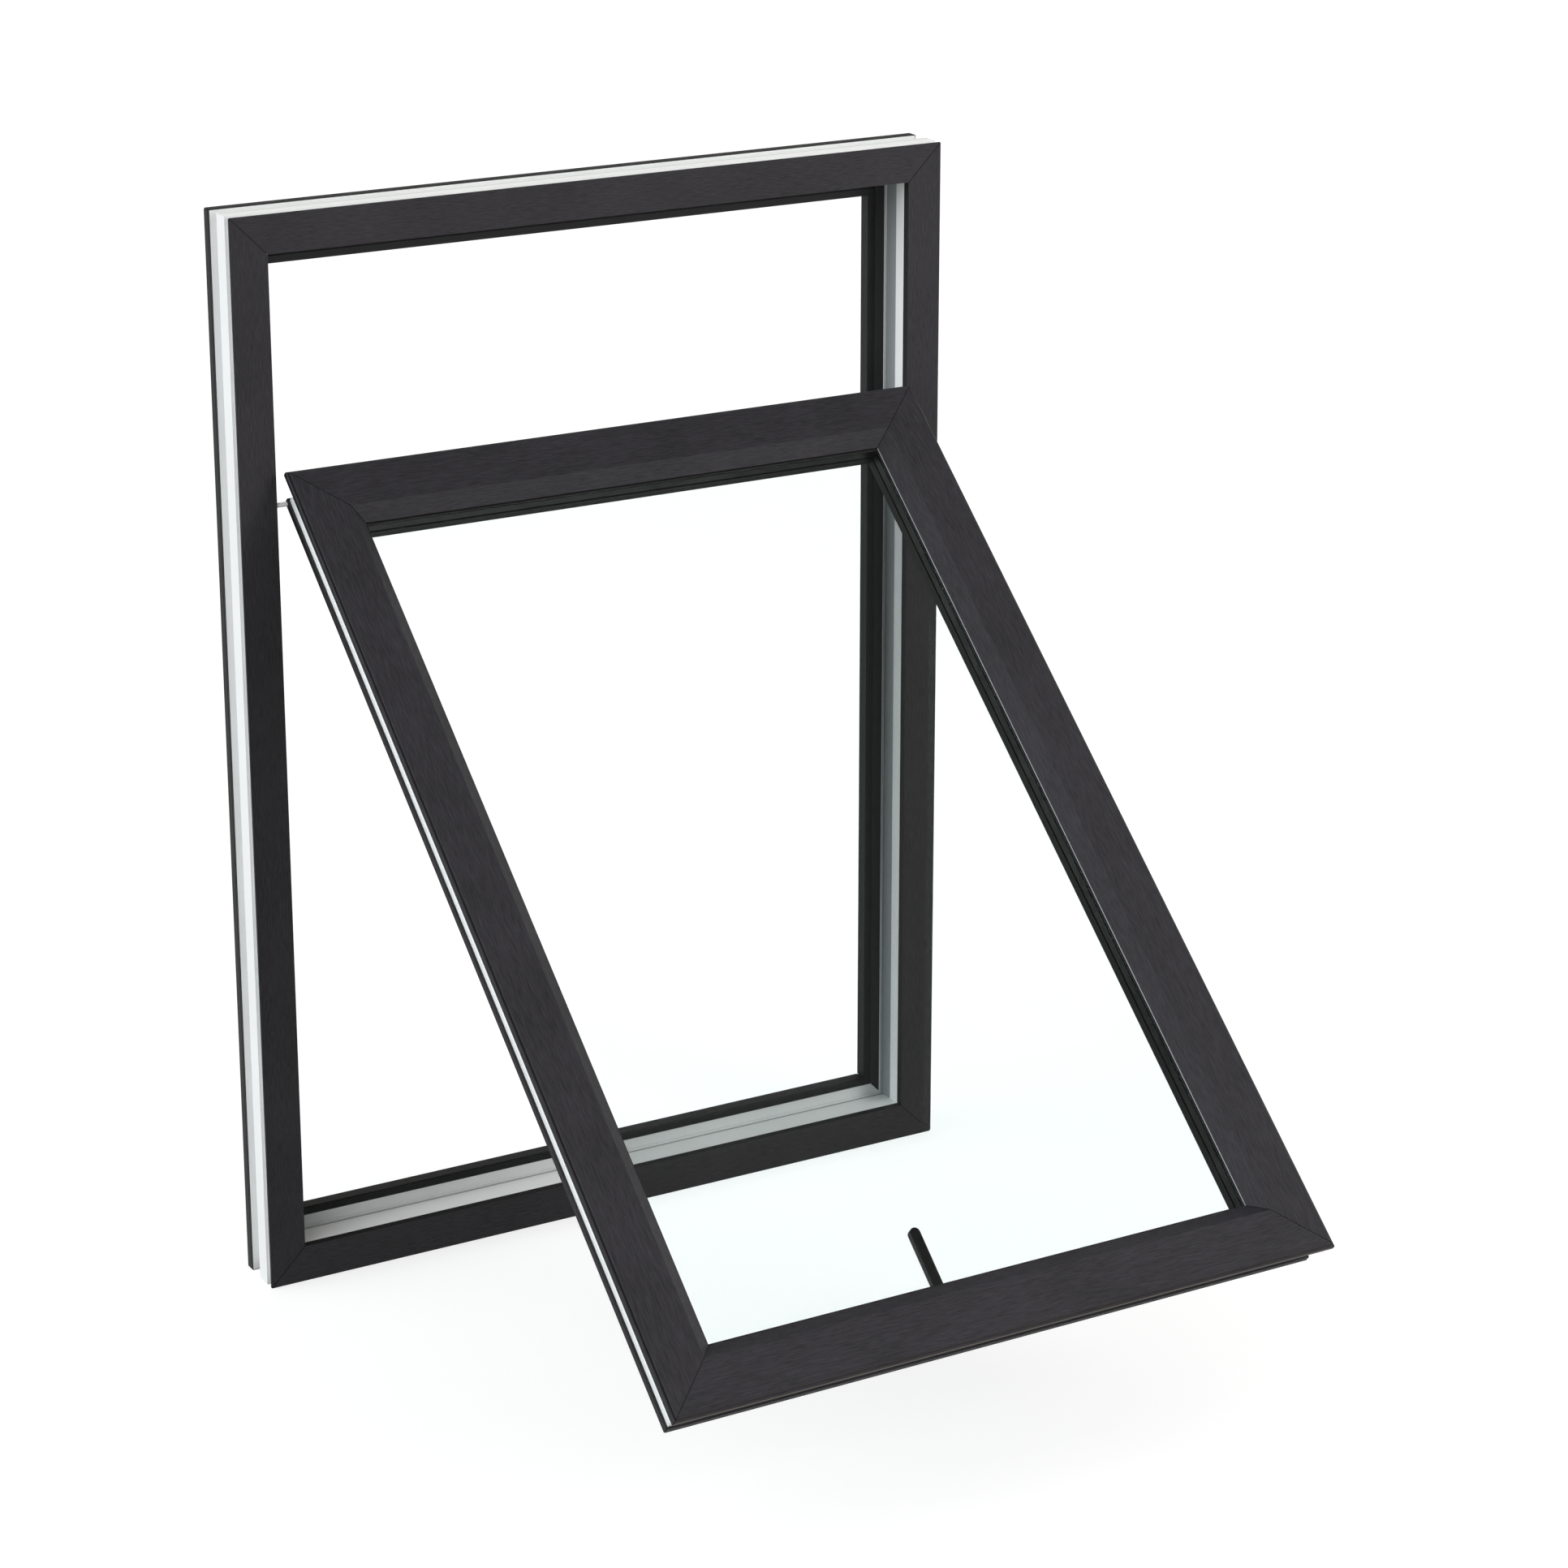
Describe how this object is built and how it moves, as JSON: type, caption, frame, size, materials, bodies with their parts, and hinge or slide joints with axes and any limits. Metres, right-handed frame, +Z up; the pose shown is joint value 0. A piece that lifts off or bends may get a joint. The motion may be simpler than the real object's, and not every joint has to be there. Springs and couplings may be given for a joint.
{
  "type": "top-hung window",
  "caption": "Outward-opening top-hung window: mitred dark-foiled frame with a glazed sash on top guides and a lever handle.",
  "frame": {"origin": "middle of the underside of the sill's back flange, where the window stands in its wall opening", "axes": "+X to the right as seen from outside, +Y into the room, +Z up"},
  "size_m": [0.99, 1.0614, 1.39],
  "materials": {
    "white_core": "satin white plastic",
    "dark_foil": "fine grained anthracite foil",
    "black_rubber": "matt rubber seal",
    "spacer_bar": "matt dark spacer",
    "clear_glass": "clear float glass",
    "guide_nylon": "plain nylon",
    "handle_black": "black powder coat"
  },
  "bodies": {
    "frame": {"head": "white_core", "head_front_foil": "dark_foil", "head_back_foil": "dark_foil", "left_jamb": "white_core", "left_jamb_front_foil": "dark_foil", "left_jamb_back_foil": "dark_foil", "sill": "white_core", "sill_front_foil": "dark_foil", "sill_back_foil": "dark_foil", "right_jamb": "white_core", "right_jamb_front_foil": "dark_foil", "right_jamb_back_foil": "dark_foil", "stop_gasket": "black_rubber"},
    "guides": {"left_guide": "guide_nylon", "right_guide": "guide_nylon"},
    "sash": {"sash_top_rail": "white_core", "sash_top_rail_front_foil": "dark_foil", "sash_top_rail_back_foil": "dark_foil", "sash_left_stile": "white_core", "sash_left_stile_front_foil": "dark_foil", "sash_left_stile_back_foil": "dark_foil", "sash_bottom_rail": "white_core", "sash_bottom_rail_front_foil": "dark_foil", "sash_bottom_rail_back_foil": "dark_foil", "sash_right_stile": "white_core", "sash_right_stile_front_foil": "dark_foil", "sash_right_stile_back_foil": "dark_foil", "top_glazing_bead": "dark_foil", "left_glazing_bead": "dark_foil", "bottom_glazing_bead": "dark_foil", "right_glazing_bead": "dark_foil", "outer_glazing_seal": "black_rubber", "inner_glazing_seal": "black_rubber", "glass_spacer": "spacer_bar", "outer_pane": "clear_glass", "inner_pane": "clear_glass", "handle_plate": "handle_black"},
    "handle": {"handle_lever": "handle_black"}
  },
  "joints": [
    {"name": "guide_slide", "type": "slide", "parent": "frame", "child": "guides", "axis": [0, -0.139, -0.9903], "range_m": [-0.29385, 0]},
    {"name": "sash_tilt", "type": "hinge", "parent": "guides", "child": "sash", "pos_m": [0, -0.06484, 1.0313], "axis": [-1, 0, 0], "range_deg": [-49.3, 0]},
    {"name": "handle_turn", "type": "hinge", "parent": "sash", "child": "handle", "pos_m": [-0.02, -0.98426, 0.23058], "axis": [0, 0.6521, -0.7581], "range_deg": [-90, 0]}
  ],
  "couplings": [
    {"joint": "guide_slide", "follows": "sash_tilt", "m_per_rad": 0.34139}
  ]
}
